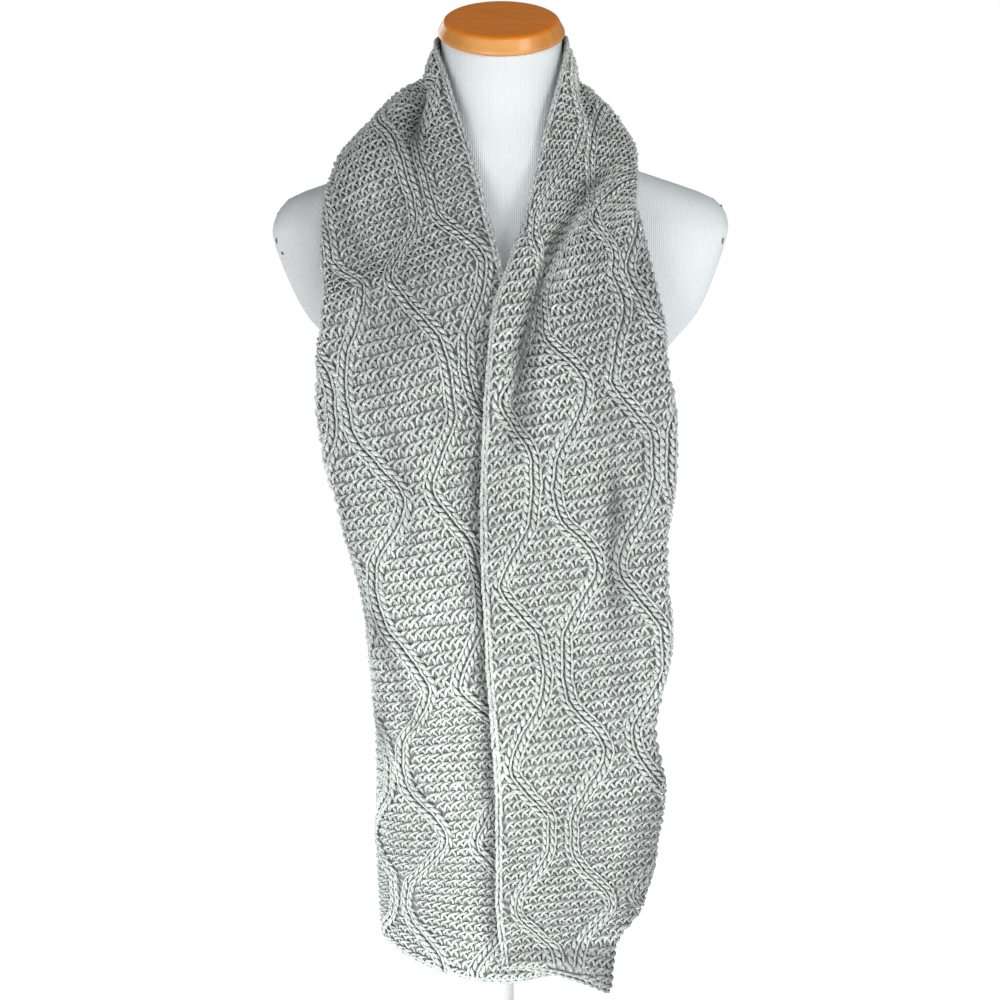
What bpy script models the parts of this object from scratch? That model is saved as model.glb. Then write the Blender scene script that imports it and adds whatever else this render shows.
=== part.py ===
# Knit scarf hung round the neck of a limbless dress form. Metres, +Z up, front faces -Y.
# The scarf is one band of cloth, WIDTH wide, wound as one surface: u runs across it from the
# neckline edge, r runs along it in knitted rows from the middle of the back of the neck,
# negative to the viewer's left strand and positive to the right one.
import bpy
import bmesh
import math
import numpy as np
from mathutils import Vector
from mathutils.bvhtree import BVHTree

for leftover in list(bpy.data.objects):
    bpy.data.objects.remove(leftover, do_unlink=True)

MM = 0.001
WIDTH = 216.0          # across the scarf at its hems
WALL = 4.0             # thickness of the knit
GAP = 0.3              # between neighbouring solids
NECK_END = 13.0        # rows from the back of the neck to the shoulder joins
HEM = 98.0             # rows from the back of the neck to either hem

# ---------------------------------------------------------------- the cloth's own surface
# One line per section across the scarf, millimetres and degrees.
# row: knitted rows from the back of the neck. in_*: neckline edge. out_*: outermost line.
# near, far: how far the section bows outward at one and two thirds. az, el: the way it faces.
# turn, rad: how far and how tightly the rest turns round the outer line. sag: droop of its middle.
# wide: how wide the cloth is there, less where its own weight draws it in.
COLUMNS = ("row", "in_x", "in_y", "in_z", "out_x", "out_y", "out_z",
           "near", "far", "az", "el", "turn", "rad", "sag", "wide")
SECTIONS = (
    (-98, 74, -116, 191, -117, -119, 196, 6, 10, 0, 0, 95, 37, 19, 216),
    (-94, 75, -116, 221, -118, -119, 226, 6, 10, 0, 0, 95, 38, 10, 216),
    (-90, 76, -116, 252, -118, -119, 252, 6, 10, 0, 0, 95, 38, 4, 216),
    (-82, 76, -117, 317, -119, -120, 305, 6, 10, 0, 0, 95, 38, 0, 216),
    (-74, 71, -116, 391, -117, -121, 375, 5, 10, 0, 0, 100, 34, 0, 214),
    (-66, 62, -118, 464, -116, -122, 441, 5, 9, 0, 0, 125, 24, 0, 214),
    (-58, 46, -120, 558, -123, -123, 529, 4, 8, 0, 0, 175, 12, 0, 212),
    (-50, 34, -120, 644, -144, -122, 609, 4, 8, 0, 0, 180, 9, 0, 210),
    (-42, 17, -119, 740, -162, -117, 696, 4, 8, 0, 2, 180, 9, 0, 208),
    (-38, 9, -111, 786, -161, -109, 741, 4, 9, -3, 6, 180, 9, 0, 206),
    (-34, -3, -95, 832, -157, -102, 785, 4, 10, -6, 12, 180, 9, 0, 205),
    (-30, -12, -77, 864, -157, -94, 809, 4, 12, -9, 20, 180, 9, 0, 202),
    (-26, -20, -65, 895, -158, -84, 840, 3, 13, -13, 30, 176, 7, 0, 199),
    (-22, -30, -57, 926, -157, -66, 874, 1, 14, -20, 42, 174, 7, 0, 198),
    (-18, -39, -48, 953, -150, -23, 905, -2, 14, -30, 58, 174, 7, 0, 198),
    (-14, -48.5, -36, 982, -136, 25, 916, -2, 14, -48, 60, 174, 7, 0, 199),
    (-10, -57.5, -12, 1008, -117, 71, 907, -7, 12, -85, 50, 166, 7, 0, 202),
    (-5, -43, 49, 1019, -73, 125, 866, -31, 2, -140, 25, 120, 10, 0, 205),
    (0, 0, 74, 1022, 0, 132, 848, -38, -10, -180, 12, 60, 16, 0, 207),
    (5, 43, 49, 1019, 73, 125, 866, -31, 2, -220, 25, 120, 10, 0, 203),
    (10, 57.5, -12, 1009, 111, 70, 910, -8, 11, -275, 50, 164, 7, 0, 190),
    (14, 49, -40, 972, 116, 20, 927, -6, 13, -312, 60, 156, 7, 0, 164),
    (18, 39, -51, 938, 124, -23, 916, -1, 12, -330, 58, 158, 7, 0, 148),
    (22, 30, -65, 900, 121, -61, 894, 3, 12, -340, 38, 164, 7, 0, 140),
    (26, 20, -86, 860, 119, -85, 873, 6, 13, -347, 22, 167, 7.5, 0, 150),
    (30, 7, -107, 824, 125, -98, 850, 5, 12, -352, 13, 173, 9, 0, 168),
    (34, -6, -124, 785, 133, -108, 816, 3, 10, -356, 8, 180, 9, 0, 186),
    (38, -11, -134, 745, 141, -114, 779, 2, 8, -358, 4, 180, 9, 0, 197),
    (42, -14, -138, 706, 145, -119, 741, 2, 7, -360, 2, 180, 9, 0, 203),
    (50, -18, -140, 625, 154, -123, 659, 2, 6, -360, 0, 180, 8, 0, 210),
    (58, -17, -139, 548, 146, -123, 573, 2, 6, -360, 0, 180, 8, 0, 212),
    (62, -15, -138, 509, 148, -122, 531, 2, 6, -360, 0, 180, 8, 0, 213),
    (66, -13, -138, 470, 151, -121, 489, 2, 6, -360, 0, 180, 8, 0, 214),
    (70, -10, -137, 428, 145, -120, 448, 2, 6, -360, 0, 180, 8, 0, 214),
    (74, -7, -137, 386, 138, -120, 407, 2, 6, -360, 0, 180, 8, 0, 215),
    (78, -5, -136, 347, 146, -119, 362, 2, 6, -360, 0, 177, 8, 0, 216),
    (82, -5, -136, 313, 144, -119, 327, 2, 6, -360, 0, 173, 8, 0, 216),
    (86, -5, -135, 282, 139, -118, 293, 2, 6, -360, 0, 170, 8, 0, 216),
    (90, -5, -135, 251, 133, -117, 259, 2, 6, -360, 0, 167, 8, 0, 216),
    (94, -2, -134, 221, 120, -117, 229, 2, 6, -360, 0, 164, 8, 0, 216),
    (96, 0, -134, 206, 105, -118, 208, 2, 5, -360, 0, 162, 8, -2, 216),
    (98, 0, -133, 192, 100, -120, 162, 2, 4, -360, 0, 160, 8, -6, 216),
)
# Creases drawn in by hand, from one row and distance across to another, millimetres across from
# the neckline edge: half width, and how far the cloth comes out (+) or goes in (-) at either end.
CREASES = (
    # row0, across0, row1, across1, half_width, depth0, depth1
    (20.5, 60, 23.5, 54, 12, -3, -8),
    (23.5, 54, 28.7, 42, 12, -9, -12),
    (28.7, 42, 33.5, 43, 12, -12, -11),
    (33.5, 43, 38.3, 35, 11, -11, -7),
    (38.3, 35, 45, 29, 9, -7, -3),
    (23, 26, 42, 14, 9, 4, 6),
    (25, 74, 47, 60, 15, 6, 6),
    (29, 93, 37, 103, 12, -8, -5),
    (51, 121, 58, 119, 9, -6, -5),
    (77, 146, 93, 138, 13, -5, -5),
    (12, 40, 20, 40, 8, -4, -4),
    (14, 58, 18, 84, 8, 6, 6),
    (-7, 44, -13, 36, 10, -4, -6),
    (-13, 36, -22, 42, 10, -6, -5),
    (-14.6, 42, -18, 46, 9, -9, -5),
    (-13, 66, -22, 84, 18, 4, 4),
    (-29, 74, -36, 84, 20, -5, -4),
    (-62, 160, -68.5, 145, 7, -6, -5),
    (7, 44, 12, 40, 10, -4, -5),
    (46, 96, 60, 100, 24, 4, 4),
    (-38, 100, -52, 104, 24, 4, 4),
)


def along(x, xs, ys):
    """Cubic through every (xs, ys), slopes from the neighbours on either side."""
    xs, ys, x = np.asarray(xs, float), np.asarray(ys, float), np.asarray(x, float)
    step = np.diff(xs)
    rise = np.diff(ys) / step
    slope = np.empty_like(ys)
    slope[1:-1] = (rise[:-1] * step[1:] + rise[1:] * step[:-1]) / (step[:-1] + step[1:])
    slope[0], slope[-1] = rise[0], rise[-1]
    k = np.clip(np.searchsorted(xs, x) - 1, 0, len(step) - 1)
    t = (x - xs[k]) / step[k]
    return ((2 * t**3 - 3 * t**2 + 1) * ys[k] + (t**3 - 2 * t**2 + t) * step[k] * slope[k]
            + (3 * t**2 - 2 * t**3) * ys[k + 1] + (t**3 - t**2) * step[k] * slope[k + 1])


def unit(v):
    return v / np.maximum(np.linalg.norm(v, axis=-1, keepdims=True), 1e-9)


def pressed(row, across):
    """How far the creases lift the cloth at this row and distance across."""
    total = 0.0
    for row0, across0, row1, across1, half_width, depth0, depth1 in CREASES:
        a, b = np.array((across0, row0 * 10.0)), np.array((across1, row1 * 10.0))
        length = np.linalg.norm(b - a)
        dx, dy = (b - a) / length
        px, py = across - a[0], row * 10.0 - a[1]
        down, off = px * dx + py * dy, px * dy - py * dx
        past = np.maximum(0, np.maximum(-down, down - length)) / 2.5
        t = np.clip(down / length, 0, 1)
        total = total + (depth0 + (depth1 - depth0) * t) * np.exp(-(off**2 + past**2) / half_width**2)
    return total


def section(row):
    """Polyline of one section, its running length, the length at which it is half turned, and its width."""
    names = COLUMNS[1:]
    table = np.array(SECTIONS, float)
    c = {n: float(along(row, table[:, 0], table[:, i + 1])) for i, n in enumerate(names)}
    start = np.array((c["in_x"], c["in_y"], c["in_z"]))
    outer = np.array((c["out_x"], c["out_y"], c["out_z"]))
    across = unit(outer - start)
    az, el, turn = math.radians(c["az"]), math.radians(c["el"]), math.radians(max(c["turn"], 0))
    face = np.array((math.sin(az) * math.cos(el), -math.cos(az) * math.cos(el), math.sin(el)))
    face = unit(face - across * face.dot(across))
    outer = outer - across * c["rad"] * math.sin(min(turn, math.pi / 2))
    chord = outer - start
    v = np.linspace(0, 1, 81)[:, None]
    reach = np.linalg.norm(chord)
    fade = np.minimum(1, (1 - v) * reach / 24)
    lift = pressed(row, v * reach) * fade**2 * (3 - 2 * fade)
    front = (start + chord * v + face * (3 * c["near"] * v * (1 - v) ** 2 + 3 * c["far"] * v**2 * (1 - v) + lift)
             - np.array((0, 0, 4 * c["sag"])) * v * (1 - v))
    ahead = unit(front[-1] - front[-2])
    up = unit(face - ahead * face.dot(ahead))
    a = np.linspace(0, turn, 25)[1:, None]
    arc = outer + c["rad"] * (np.sin(a) * ahead - (1 - np.cos(a)) * up)
    tail = arc[-1] + (math.cos(turn) * ahead - math.sin(turn) * up) * np.linspace(4, 260, 40)[:, None]
    line = np.concatenate((front, arc, tail))
    run = np.concatenate(((0,), np.cumsum(np.linalg.norm(np.diff(line, axis=0), axis=1))))
    return line, run, run[80] + c["rad"] * turn / 2, c["wide"]


def surface(rows, across):
    """Grid of points, one line per row of the cloth. across(half, wide) gives the distances across."""
    grid = []
    for r in rows:
        line, run, half, wide = section(r)
        u = across(min(half, wide - 12.0), wide)
        points = np.stack([np.interp(u, run, line[:, k]) for k in range(3)], axis=1)
        grid.append(points + np.minimum(u, 0)[:, None] * unit(line[1] - line[0]))
    return np.array(grid)


def facing(place, rows, across):
    """Which way the cloth faces at every grid point, from its own neighbours half a millimetre off."""
    dr = place(surface(rows + 0.1, across)) - place(surface(rows - 0.1, across))
    du = (place(surface(rows, lambda half, wide: across(half, wide) + 0.5))
          - place(surface(rows, lambda half, wide: across(half, wide) - 0.5)))
    return unit(np.cross(du, dr))


# ---------------------------------------------------------------- materials and collection
scarf_set = bpy.data.collections.new("knit_scarf_on_dress_form")
bpy.context.scene.collection.children.link(scarf_set)


def finish(name, colour, roughness, metallic=0.0):
    m = bpy.data.materials.new(name)
    m.use_nodes = True
    p = m.node_tree.nodes["Principled BSDF"]
    p.inputs["Base Color"].default_value = (*colour, 1)
    p.inputs["Roughness"].default_value = roughness
    p.inputs["Metallic"].default_value = metallic
    m.diffuse_color = (*colour, 1)
    return m


KNIT = finish("knit_grey_heather", (0.36, 0.38, 0.36), 0.95)
CANVAS = finish("canvas_white", (0.86, 0.87, 0.88), 0.9)
WOOD = finish("wood_honey", (0.72, 0.34, 0.09), 0.3)
WHITE = finish("paint_white", (0.88, 0.88, 0.88), 0.4)


def made(name, bm, material, smooth=True):
    bmesh.ops.recalc_face_normals(bm, faces=bm.faces)
    if bm.calc_volume(signed=True) < 0:
        bmesh.ops.reverse_faces(bm, faces=bm.faces)
    mesh = bpy.data.meshes.new(name)
    bm.to_mesh(mesh)
    bm.free()
    for f in mesh.polygons:
        f.use_smooth = smooth
    mesh.set_sharp_from_angle(angle=math.radians(38))
    mesh.materials.append(material)
    o = bpy.data.objects.new(name, mesh)
    scarf_set.objects.link(o)
    return o


# ---------------------------------------------------------------- the dress form
# height, half width, front depth, back depth, squareness, and how far forward the ring's middle is
TORSO = (
    # z, half_width, front, back, square, forward
    (505, 106, 84, 84, 2.2, 0),
    (511, 112, 90, 90, 2.2, 0),
    (560, 113, 92, 92, 2.2, 0),
    (620, 121, 97, 97, 2.2, 0),
    (680, 134, 102, 102, 2.3, 0),
    (728, 145, 102, 106, 2.3, 0),
    (746, 158, 100, 107, 2.4, 0),
    (765, 178, 97, 108, 2.4, 0),
    (800, 203, 89, 108, 2.4, 0),
    (830, 217, 79, 105, 2.4, 0),
    (853, 220, 68, 97, 2.4, 0),
    (868, 203, 60, 90, 2.4, 0),
    (884, 160, 57, 84, 2.3, 0),
    (898, 118, 55, 79, 2.2, 0),
    (912, 85, 56, 73, 2.1, -2),
    (926, 68, 56, 66, 2.0, -4),
    (945, 59, 55, 60, 2.0, -6),
    (970, 55, 54, 56, 2.0, -2),
    (1000, 54.5, 54.5, 54.5, 2.0, 2),
    (1040, 54.5, 54.5, 54.5, 2.0, 6),
)
BUST = ((-76, 716), (76, 716))
BUST_OUT, BUST_WIDE, BUST_TALL = 16.0, 46.0, 48.0
RING = 48
CAP_TILT = math.radians(19.6)
CAP_RADIUS, CAP_TOP_RADIUS, CAP_THICK = 56.6, 51.2, 15.6
CAP_LOW = Vector((0, -4, 1016.5)) * MM          # middle of the cap's underside
CAP_UP = Vector((0, -math.sin(CAP_TILT), math.cos(CAP_TILT)))
POLE_RADIUS, BASE_HIGH = 12.0, 20.0
# the flat ends of the shoulder caps: a point on each and the slope of the cut
ARM_POINT, ARM_SLOPE = (204.0, 0.0, 846.0), math.radians(22.5)


def torso():
    table = np.array(TORSO, float)
    heights = np.unique(np.concatenate([np.linspace(a, b, max(2, int((b - a) / 15) + 1))
                                        for a, b in zip(table[:-1, 0], table[1:, 0])]))
    bm = bmesh.new()
    rings = []
    for z in heights:
        w, f, b, n, fwd = (float(along(z, table[:, 0], table[:, k])) for k in range(1, 6))
        ring = []
        for i in range(RING):
            a = 2 * math.pi * i / RING
            c, s = math.cos(a), math.sin(a)
            x = w * math.copysign(abs(c) ** (2 / n), c)
            y = (b if s > 0 else f) * math.copysign(abs(s) ** (2 / n), s) - fwd
            if s < 0:
                for bx, bz in BUST:
                    y -= BUST_OUT * math.exp(-((x - bx) / BUST_WIDE) ** 2 - ((z - bz) / BUST_TALL) ** 2) * min(1, -2 * s)
            ring.append(bm.verts.new((x * MM, y * MM, z * MM)))
        rings.append(ring)
    for low, high in zip(rings, rings[1:]):
        for i in range(RING):
            j = (i + 1) % RING
            bm.faces.new((low[i], low[j], high[j], high[i]))
    bm.faces.new(list(reversed(rings[0])))
    bm.faces.new(rings[-1])
    cuts = [(CAP_LOW - CAP_UP * GAP * MM, CAP_UP)]
    for side in (-1, 1):
        cuts.append((Vector((side * ARM_POINT[0], ARM_POINT[1], ARM_POINT[2])) * MM,
                     Vector((side * math.cos(ARM_SLOPE), 0, -math.sin(ARM_SLOPE)))))
    for point, way in cuts:
        upper = [f for f in bm.faces if min(v.co.z for v in f.verts) > 0.744]
        parts = set(upper)
        for f in upper:
            parts.update(f.verts)
            parts.update(f.edges)
        cut = bmesh.ops.bisect_plane(bm, geom=list(parts), dist=1e-6,
                                     plane_co=point, plane_no=way, clear_outer=True)
        edge = [g for g in cut["geom_cut"] if isinstance(g, bmesh.types.BMEdge)]
        bmesh.ops.holes_fill(bm, edges=edge)
    bmesh.ops.remove_doubles(bm, verts=bm.verts, dist=2e-5)
    return made("form_torso", bm, CANVAS)


TORSO_OBJECT = torso()


def turned(name, profile, material, segments=48):
    """A turned solid: (radius, height) pairs in millimetres, from the top middle down its outside to the bottom middle."""
    mesh = bpy.data.meshes.new(name)
    mesh.from_pydata([(r * MM, 0, z * MM) for r, z in profile], [(i, i + 1) for i in range(len(profile) - 1)], [])
    mesh.materials.append(material)
    o = bpy.data.objects.new(name, mesh)
    scarf_set.objects.link(o)
    screw = o.modifiers.new("turn", "SCREW")
    screw.axis = "Z"
    screw.angle = 2 * math.pi
    screw.steps = screw.render_steps = segments
    screw.use_merge_vertices = True
    screw.merge_threshold = 0.00001
    screw.use_smooth_shade = True
    return o


def flared(radius, top_radius, high):
    """Profile of a disc whose side slopes out to its foot and rolls over into a flat top."""
    return [(0, high), (top_radius - 4, high), (top_radius - 1.8, high - 0.5), (top_radius, high - 2),
            (top_radius + 1.6, high - 5), (radius - 1.2, high * 0.34), (radius, high * 0.17), (radius - 0.6, high * 0.05),
            (radius - 2, 0), (0, 0)]


neck_cap = turned("form_neck_cap", flared(CAP_RADIUS, CAP_TOP_RADIUS, CAP_THICK), WOOD, 64)
neck_cap.location = CAP_LOW
neck_cap.rotation_euler = (CAP_TILT, 0, 0)

turned("form_base", [(0, BASE_HIGH), (30, BASE_HIGH), (60, BASE_HIGH - 1.5), (140, 16), (147, 14), (150, 10),
                     (150, 5), (149, 2), (144, 0), (0, 0)], WHITE, 72)

POLE_LOW, POLE_HIGH = BASE_HIGH + GAP, TORSO[0][0] - GAP
bm = bmesh.new()
bmesh.ops.create_cone(bm, cap_ends=True, segments=36, radius1=POLE_RADIUS * MM, radius2=POLE_RADIUS * MM,
                      depth=(POLE_HIGH - POLE_LOW) * MM)
pole = made("form_pole", bm, WHITE)
pole.location = (0, 0, (POLE_LOW + POLE_HIGH) / 2 * MM)

# ---------------------------------------------------------------- the scarf
torso_tree = BVHTree.FromObject(TORSO_OBJECT, bpy.context.evaluated_depsgraph_get())


def clear_of(tree, grid, room):
    """Moves points nearer than room to the form straight out from it."""
    out = grid.copy()
    for index in np.ndindex(grid.shape[:2]):
        p = Vector(grid[index]) * MM
        place, normal, _, _ = tree.find_nearest(p, 0.12)
        if place is None:
            continue
        outside = (p - place).dot(normal) > 0
        way = (p - place).normalized() if outside and (p - place).length > 1e-5 else normal
        off = (p - place).dot(way) / MM
        if off < room:
            out[index] += np.array(way) * (room - off)
    return out


def wall(name, rows, across):
    """One closed solid: the cloth's surface with half the wall on either side and rounded edges."""
    rows = np.asarray(rows, float)

    def place(grid):
        return clear_of(torso_tree, grid, WALL / 2 + 2.5)

    grid = place(surface(rows, across))
    half = facing(place, rows, across) * WALL / 2
    outside, inside = grid + half, grid - half
    bm = bmesh.new()
    count_r, count_u = grid.shape[:2]
    top = [[bm.verts.new(Vector(outside[j, i]) * MM) for i in range(count_u)] for j in range(count_r)]
    low = [[bm.verts.new(Vector(inside[j, i]) * MM) for i in range(count_u)] for j in range(count_r)]
    for j in range(count_r - 1):
        for i in range(count_u - 1):
            bm.faces.new((top[j][i], top[j][i + 1], top[j + 1][i + 1], top[j + 1][i]))
            bm.faces.new((low[j][i], low[j + 1][i], low[j + 1][i + 1], low[j][i + 1]))
    rim = ([(j, 0) for j in range(count_r)] + [(count_r - 1, i) for i in range(1, count_u)]
           + [(j, count_u - 1) for j in range(count_r - 2, -1, -1)] + [(0, i) for i in range(count_u - 2, 0, -1)])
    for a, b in zip(rim, rim[1:] + rim[:1]):
        corners = (top[a[0]][a[1]], top[b[0]][b[1]], low[b[0]][b[1]], low[a[0]][a[1]])
        # the same diagonal on either side of a seam, so that the two rims lie flat together
        if a < b:
            bm.faces.new((corners[0], corners[1], corners[2]))
            bm.faces.new((corners[0], corners[2], corners[3]))
        else:
            bm.faces.new((corners[0], corners[1], corners[3]))
            bm.faces.new((corners[1], corners[2], corners[3]))
    return made(name, bm, KNIT)


SEAM = GAP / 2 / 9.0                     # half the gap, in rows
neck_rows = np.linspace(-NECK_END + SEAM, NECK_END - SEAM, 24)
left_rows = np.linspace(-HEM, -NECK_END - SEAM, 41)
right_rows = np.linspace(NECK_END + SEAM, HEM, 44)


def to_fold(half, wide):
    """Distances across from the neckline edge to the fold, closer together round the turn."""
    return np.append(np.linspace(0, half - 12, 15), (half - 5.5, half)) - GAP / 2 * np.append(np.zeros(16), 1)


def past_fold(half, wide):
    return half + GAP / 2 + (wide - half) * np.array((0, 0.12, 0.27, 0.5, 0.75, 1))


wall("scarf_neck", neck_rows, lambda half, wide: np.append(to_fold(half, wide), past_fold(half, wide)[1:]))
for side, rows in (("left", left_rows), ("right", right_rows)):
    wall(f"scarf_{side}_front", rows, to_fold)
    wall(f"scarf_{side}_return", rows, past_fold)
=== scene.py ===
import math
import bpy
import numpy as np
from mathutils import Matrix, Vector
from mathutils.bvhtree import BVHTree


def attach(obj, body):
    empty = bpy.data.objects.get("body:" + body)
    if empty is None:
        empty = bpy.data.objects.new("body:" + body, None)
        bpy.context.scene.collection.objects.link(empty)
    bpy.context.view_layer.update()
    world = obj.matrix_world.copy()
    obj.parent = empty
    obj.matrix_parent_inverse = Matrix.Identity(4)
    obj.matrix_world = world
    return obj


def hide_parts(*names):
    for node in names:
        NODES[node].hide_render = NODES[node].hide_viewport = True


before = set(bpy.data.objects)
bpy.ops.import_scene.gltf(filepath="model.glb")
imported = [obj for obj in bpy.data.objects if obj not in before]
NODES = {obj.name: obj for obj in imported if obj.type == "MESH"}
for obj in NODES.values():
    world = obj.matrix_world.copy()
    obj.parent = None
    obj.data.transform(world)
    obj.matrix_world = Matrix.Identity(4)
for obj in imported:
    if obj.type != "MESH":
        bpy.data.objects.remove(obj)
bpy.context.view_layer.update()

MM = 0.001

# ================================================================ camera: the photograph's view
EL, FOCAL = math.radians(10.0), 2529.0
CAM = Vector((-0.0013, -0.13 - 2.2 * math.cos(EL), 1.0))
camera_data = bpy.data.cameras.new("camera")
camera_data.sensor_width = 36
camera_data.lens = 36 * FOCAL / 1000
camera_data.clip_start, camera_data.clip_end = 0.05, 50
camera = bpy.data.objects.new("camera", camera_data)
camera.matrix_world = Matrix.Translation(CAM) @ Matrix.Rotation(math.pi / 2 - EL, 4, "X")
bpy.context.scene.collection.objects.link(camera)
bpy.context.scene.camera = camera

# ================================================================ the cloth's own surface
# The same sections and creases as the CAD: u runs across from the neckline edge, r along in
# knitted rows from the middle of the back of the neck, negative to the viewer's left strand.
WIDTH, STITCHES = 216.0, 30
PITCH = WIDTH / STITCHES
ROW_HIGH = 10.2
COLUMNS = ("row", "in_x", "in_y", "in_z", "out_x", "out_y", "out_z",
           "near", "far", "az", "el", "turn", "rad", "sag", "wide")
SECTIONS = (
    (-98, 74, -116, 191, -117, -119, 196, 6, 10, 0, 0, 95, 37, 19, 216),
    (-94, 75, -116, 221, -118, -119, 226, 6, 10, 0, 0, 95, 38, 10, 216),
    (-90, 76, -116, 252, -118, -119, 252, 6, 10, 0, 0, 95, 38, 4, 216),
    (-82, 76, -117, 317, -119, -120, 305, 6, 10, 0, 0, 95, 38, 0, 216),
    (-74, 71, -116, 391, -117, -121, 375, 5, 10, 0, 0, 100, 34, 0, 214),
    (-66, 62, -118, 464, -116, -122, 441, 5, 9, 0, 0, 125, 24, 0, 214),
    (-58, 46, -120, 558, -123, -123, 529, 4, 8, 0, 0, 175, 12, 0, 212),
    (-50, 34, -120, 644, -144, -122, 609, 4, 8, 0, 0, 180, 9, 0, 210),
    (-42, 17, -119, 740, -162, -117, 696, 4, 8, 0, 2, 180, 9, 0, 208),
    (-38, 9, -111, 786, -161, -109, 741, 4, 9, -3, 6, 180, 9, 0, 206),
    (-34, -3, -95, 832, -157, -102, 785, 4, 10, -6, 12, 180, 9, 0, 205),
    (-30, -12, -77, 864, -157, -94, 809, 4, 12, -9, 20, 180, 9, 0, 202),
    (-26, -20, -65, 895, -158, -84, 840, 3, 13, -13, 30, 176, 7, 0, 199),
    (-22, -30, -57, 926, -157, -66, 874, 1, 14, -20, 42, 174, 7, 0, 198),
    (-18, -39, -48, 953, -150, -23, 905, -2, 14, -30, 58, 174, 7, 0, 198),
    (-14, -48.5, -36, 982, -136, 25, 916, -2, 14, -48, 60, 174, 7, 0, 199),
    (-10, -57.5, -12, 1008, -117, 71, 907, -7, 12, -85, 50, 166, 7, 0, 202),
    (-5, -43, 49, 1019, -73, 125, 866, -31, 2, -140, 25, 120, 10, 0, 205),
    (0, 0, 74, 1022, 0, 132, 848, -38, -10, -180, 12, 60, 16, 0, 207),
    (5, 43, 49, 1019, 73, 125, 866, -31, 2, -220, 25, 120, 10, 0, 203),
    (10, 57.5, -12, 1009, 111, 70, 910, -8, 11, -275, 50, 164, 7, 0, 190),
    (14, 49, -40, 972, 116, 20, 927, -6, 13, -312, 60, 156, 7, 0, 164),
    (18, 39, -51, 938, 124, -23, 916, -1, 12, -330, 58, 158, 7, 0, 148),
    (22, 30, -65, 900, 121, -61, 894, 3, 12, -340, 38, 164, 7, 0, 140),
    (26, 20, -86, 860, 119, -85, 873, 6, 13, -347, 22, 167, 7.5, 0, 150),
    (30, 7, -107, 824, 125, -98, 850, 5, 12, -352, 13, 173, 9, 0, 168),
    (34, -6, -124, 785, 133, -108, 816, 3, 10, -356, 8, 180, 9, 0, 186),
    (38, -11, -134, 745, 141, -114, 779, 2, 8, -358, 4, 180, 9, 0, 197),
    (42, -14, -138, 706, 145, -119, 741, 2, 7, -360, 2, 180, 9, 0, 203),
    (50, -18, -140, 625, 154, -123, 659, 2, 6, -360, 0, 180, 8, 0, 210),
    (58, -17, -139, 548, 146, -123, 573, 2, 6, -360, 0, 180, 8, 0, 212),
    (62, -15, -138, 509, 148, -122, 531, 2, 6, -360, 0, 180, 8, 0, 213),
    (66, -13, -138, 470, 151, -121, 489, 2, 6, -360, 0, 180, 8, 0, 214),
    (70, -10, -137, 428, 145, -120, 448, 2, 6, -360, 0, 180, 8, 0, 214),
    (74, -7, -137, 386, 138, -120, 407, 2, 6, -360, 0, 180, 8, 0, 215),
    (78, -5, -136, 347, 146, -119, 362, 2, 6, -360, 0, 177, 8, 0, 216),
    (82, -5, -136, 313, 144, -119, 327, 2, 6, -360, 0, 173, 8, 0, 216),
    (86, -5, -135, 282, 139, -118, 293, 2, 6, -360, 0, 170, 8, 0, 216),
    (90, -5, -135, 251, 133, -117, 259, 2, 6, -360, 0, 167, 8, 0, 216),
    (94, -2, -134, 221, 120, -117, 229, 2, 6, -360, 0, 164, 8, 0, 216),
    (96, 0, -134, 206, 105, -118, 208, 2, 5, -360, 0, 162, 8, -2, 216),
    (98, 0, -133, 192, 100, -120, 162, 2, 4, -360, 0, 160, 8, -6, 216),
)
CREASES = (
    # row0, across0, row1, across1, half_width, depth0, depth1
    (20.5, 60, 23.5, 54, 12, -3, -8),
    (23.5, 54, 28.7, 42, 12, -9, -12),
    (28.7, 42, 33.5, 43, 12, -12, -11),
    (33.5, 43, 38.3, 35, 11, -11, -7),
    (38.3, 35, 45, 29, 9, -7, -3),
    (23, 26, 42, 14, 9, 4, 6),
    (25, 74, 47, 60, 15, 6, 6),
    (29, 93, 37, 103, 12, -8, -5),
    (51, 121, 58, 119, 9, -6, -5),
    (77, 146, 93, 138, 13, -5, -5),
    (12, 40, 20, 40, 8, -4, -4),
    (14, 58, 18, 84, 8, 6, 6),
    (-7, 44, -13, 36, 10, -4, -6),
    (-13, 36, -22, 42, 10, -6, -5),
    (-14.6, 42, -18, 46, 9, -9, -5),
    (-13, 66, -22, 84, 18, 4, 4),
    (-29, 74, -36, 84, 20, -5, -4),
    (-62, 160, -68.5, 145, 7, -6, -5),
    (7, 44, 12, 40, 10, -4, -5),
    (46, 96, 60, 100, 24, 4, 4),
    (-38, 100, -52, 104, 24, 4, 4),
)


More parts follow.
